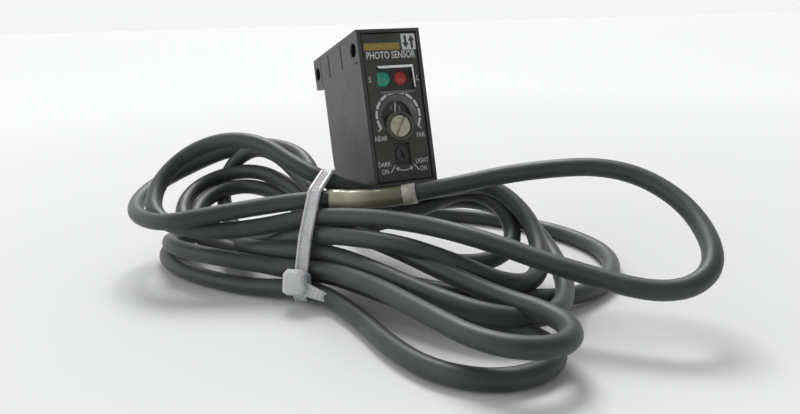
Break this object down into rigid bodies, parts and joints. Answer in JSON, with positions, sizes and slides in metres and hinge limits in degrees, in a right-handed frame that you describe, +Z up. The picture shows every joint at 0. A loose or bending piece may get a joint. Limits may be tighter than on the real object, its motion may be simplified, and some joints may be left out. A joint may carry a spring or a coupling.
{
  "type": "photoelectric sensor",
  "caption": "Boxy diffuse photoelectric sensor with distance adjuster, mode selector and status lamps on its panel, two cross holes, and a pre-wired round cable tied in a loose hank.",
  "frame": {"origin": "middle of the front mounting hole, halfway across the width", "axes": "+X across the width along both mounting holes, to the right seen from the panel; +Y level, from the panel towards the sensing face; +Z up from the surface the cable lies on; the case leans back 14 degrees about X"},
  "size_m": [0.1436, 0.1785, 0.0727],
  "materials": {
    "case_plastic": "fine moulded grain, dark grey",
    "panel_plastic": "smooth black panel",
    "steel": "plain steel",
    "sensing_window": "dark red filter plastic, polished",
    "clear_plastic": "clear moulded plastic",
    "green_lens": "green tinted lamp",
    "red_lens": "red tinted lamp",
    "black_plastic": "plain black plastic",
    "grey_plastic": "mid-grey plastic",
    "boss_plastic": "semi-matt dark grey plastic",
    "cream_plastic": "cream plastic, satin",
    "white_plastic": "white acetal",
    "seal_rubber": "soft black rubber",
    "circuit_board": "green solder resist",
    "chip_plastic": "moulded chip package",
    "can_aluminium": "bare can",
    "lens_glass": "optical, polished",
    "filter_glass": "infra-red pass filter",
    "cable_pvc": "semi-matt PVC, dark blue-grey",
    "label_film": "aged clear film",
    "nylon_white": "natural nylon, milky",
    "core_brown": "PVC core insulation",
    "core_black": "PVC core insulation",
    "core_blue": "PVC core insulation",
    "core_pink": "PVC core insulation",
    "core_bundle": "PVC core insulation"
  },
  "bodies": {
    "housing": {"case_shell": "case_plastic", "mounting_bush_front": "steel", "mounting_bush_rear": "steel", "lens_window": "sensing_window", "panel_cover": "panel_plastic", "panel_gasket": "seal_rubber", "indicator_window": "clear_plastic", "lamp_green": "green_lens", "lamp_red": "red_lens", "lamp_shade": "black_plastic", "dial_bezel": "grey_plastic", "adjuster_boss": "boss_plastic", "adjuster_seal": "seal_rubber", "dial_bridge": "black_plastic", "selector_bezel": "black_plastic", "selector_switch": "black_plastic", "front_board": "circuit_board", "board_header": "black_plastic", "main_board": "circuit_board", "shield_can": "steel", "optical_block": "black_plastic", "emitter_lens": "lens_glass", "receiver_lens": "lens_glass", "light_filter": "filter_glass", "emitter_lamp": "lens_glass", "emitter_board": "circuit_board", "cable_gland": "seal_rubber", "cable_stub": "cable_pvc", "chips": "chip_plastic", "capacitors": "can_aluminium", "guide_rods": "steel", "inner_cores": "core_bundle", "board_screws": "steel", "cable_lead": "cable_pvc", "cable_loop": "cable_pvc", "cable_tail": "cable_pvc", "cable_hank": "cable_pvc", "cable_tie": "nylon_white", "wiring_label": "label_film", "core_brown": "core_brown", "core_black": "core_black", "core_blue": "core_blue", "core_pink": "core_pink"},
    "adjuster": {"adjuster_screw": "cream_plastic", "adjuster_pinion": "white_plastic"},
    "dial": {"indicator_dial": "black_plastic"},
    "selector": {"mode_selector": "black_plastic"},
    "carriage": {"receiver_carriage": "black_plastic", "photodiode": "chip_plastic"}
  },
  "joints": [
    {"name": "distance_adjuster", "type": "hinge", "parent": "housing", "child": "adjuster", "pos_m": [0.0001, -0.01, -0.02193], "axis": [0, 0.9703, -0.2419], "range_deg": [-356, 356]},
    {"name": "distance_indicator", "type": "hinge", "parent": "housing", "child": "dial", "pos_m": [0.0001, -0.00924, -0.01888], "axis": [0, 0.9703, -0.2419], "range_deg": [-131, 131]},
    {"name": "receiver_slide", "type": "slide", "parent": "housing", "child": "carriage", "axis": [0, 0.2419, 0.9703], "range_m": [-0.0018, 0.0018]},
    {"name": "mode_selector", "type": "hinge", "parent": "housing", "child": "selector", "pos_m": [0.0001, -0.01199, -0.02989], "axis": [0, 0.9703, -0.2419], "range_deg": [-24, 54]}
  ],
  "couplings": [
    {"joint": "distance_indicator", "follows": "receiver_slide", "rad_per_m": -1250},
    {"joint": "distance_adjuster", "follows": "receiver_slide", "rad_per_m": -3437.5}
  ]
}
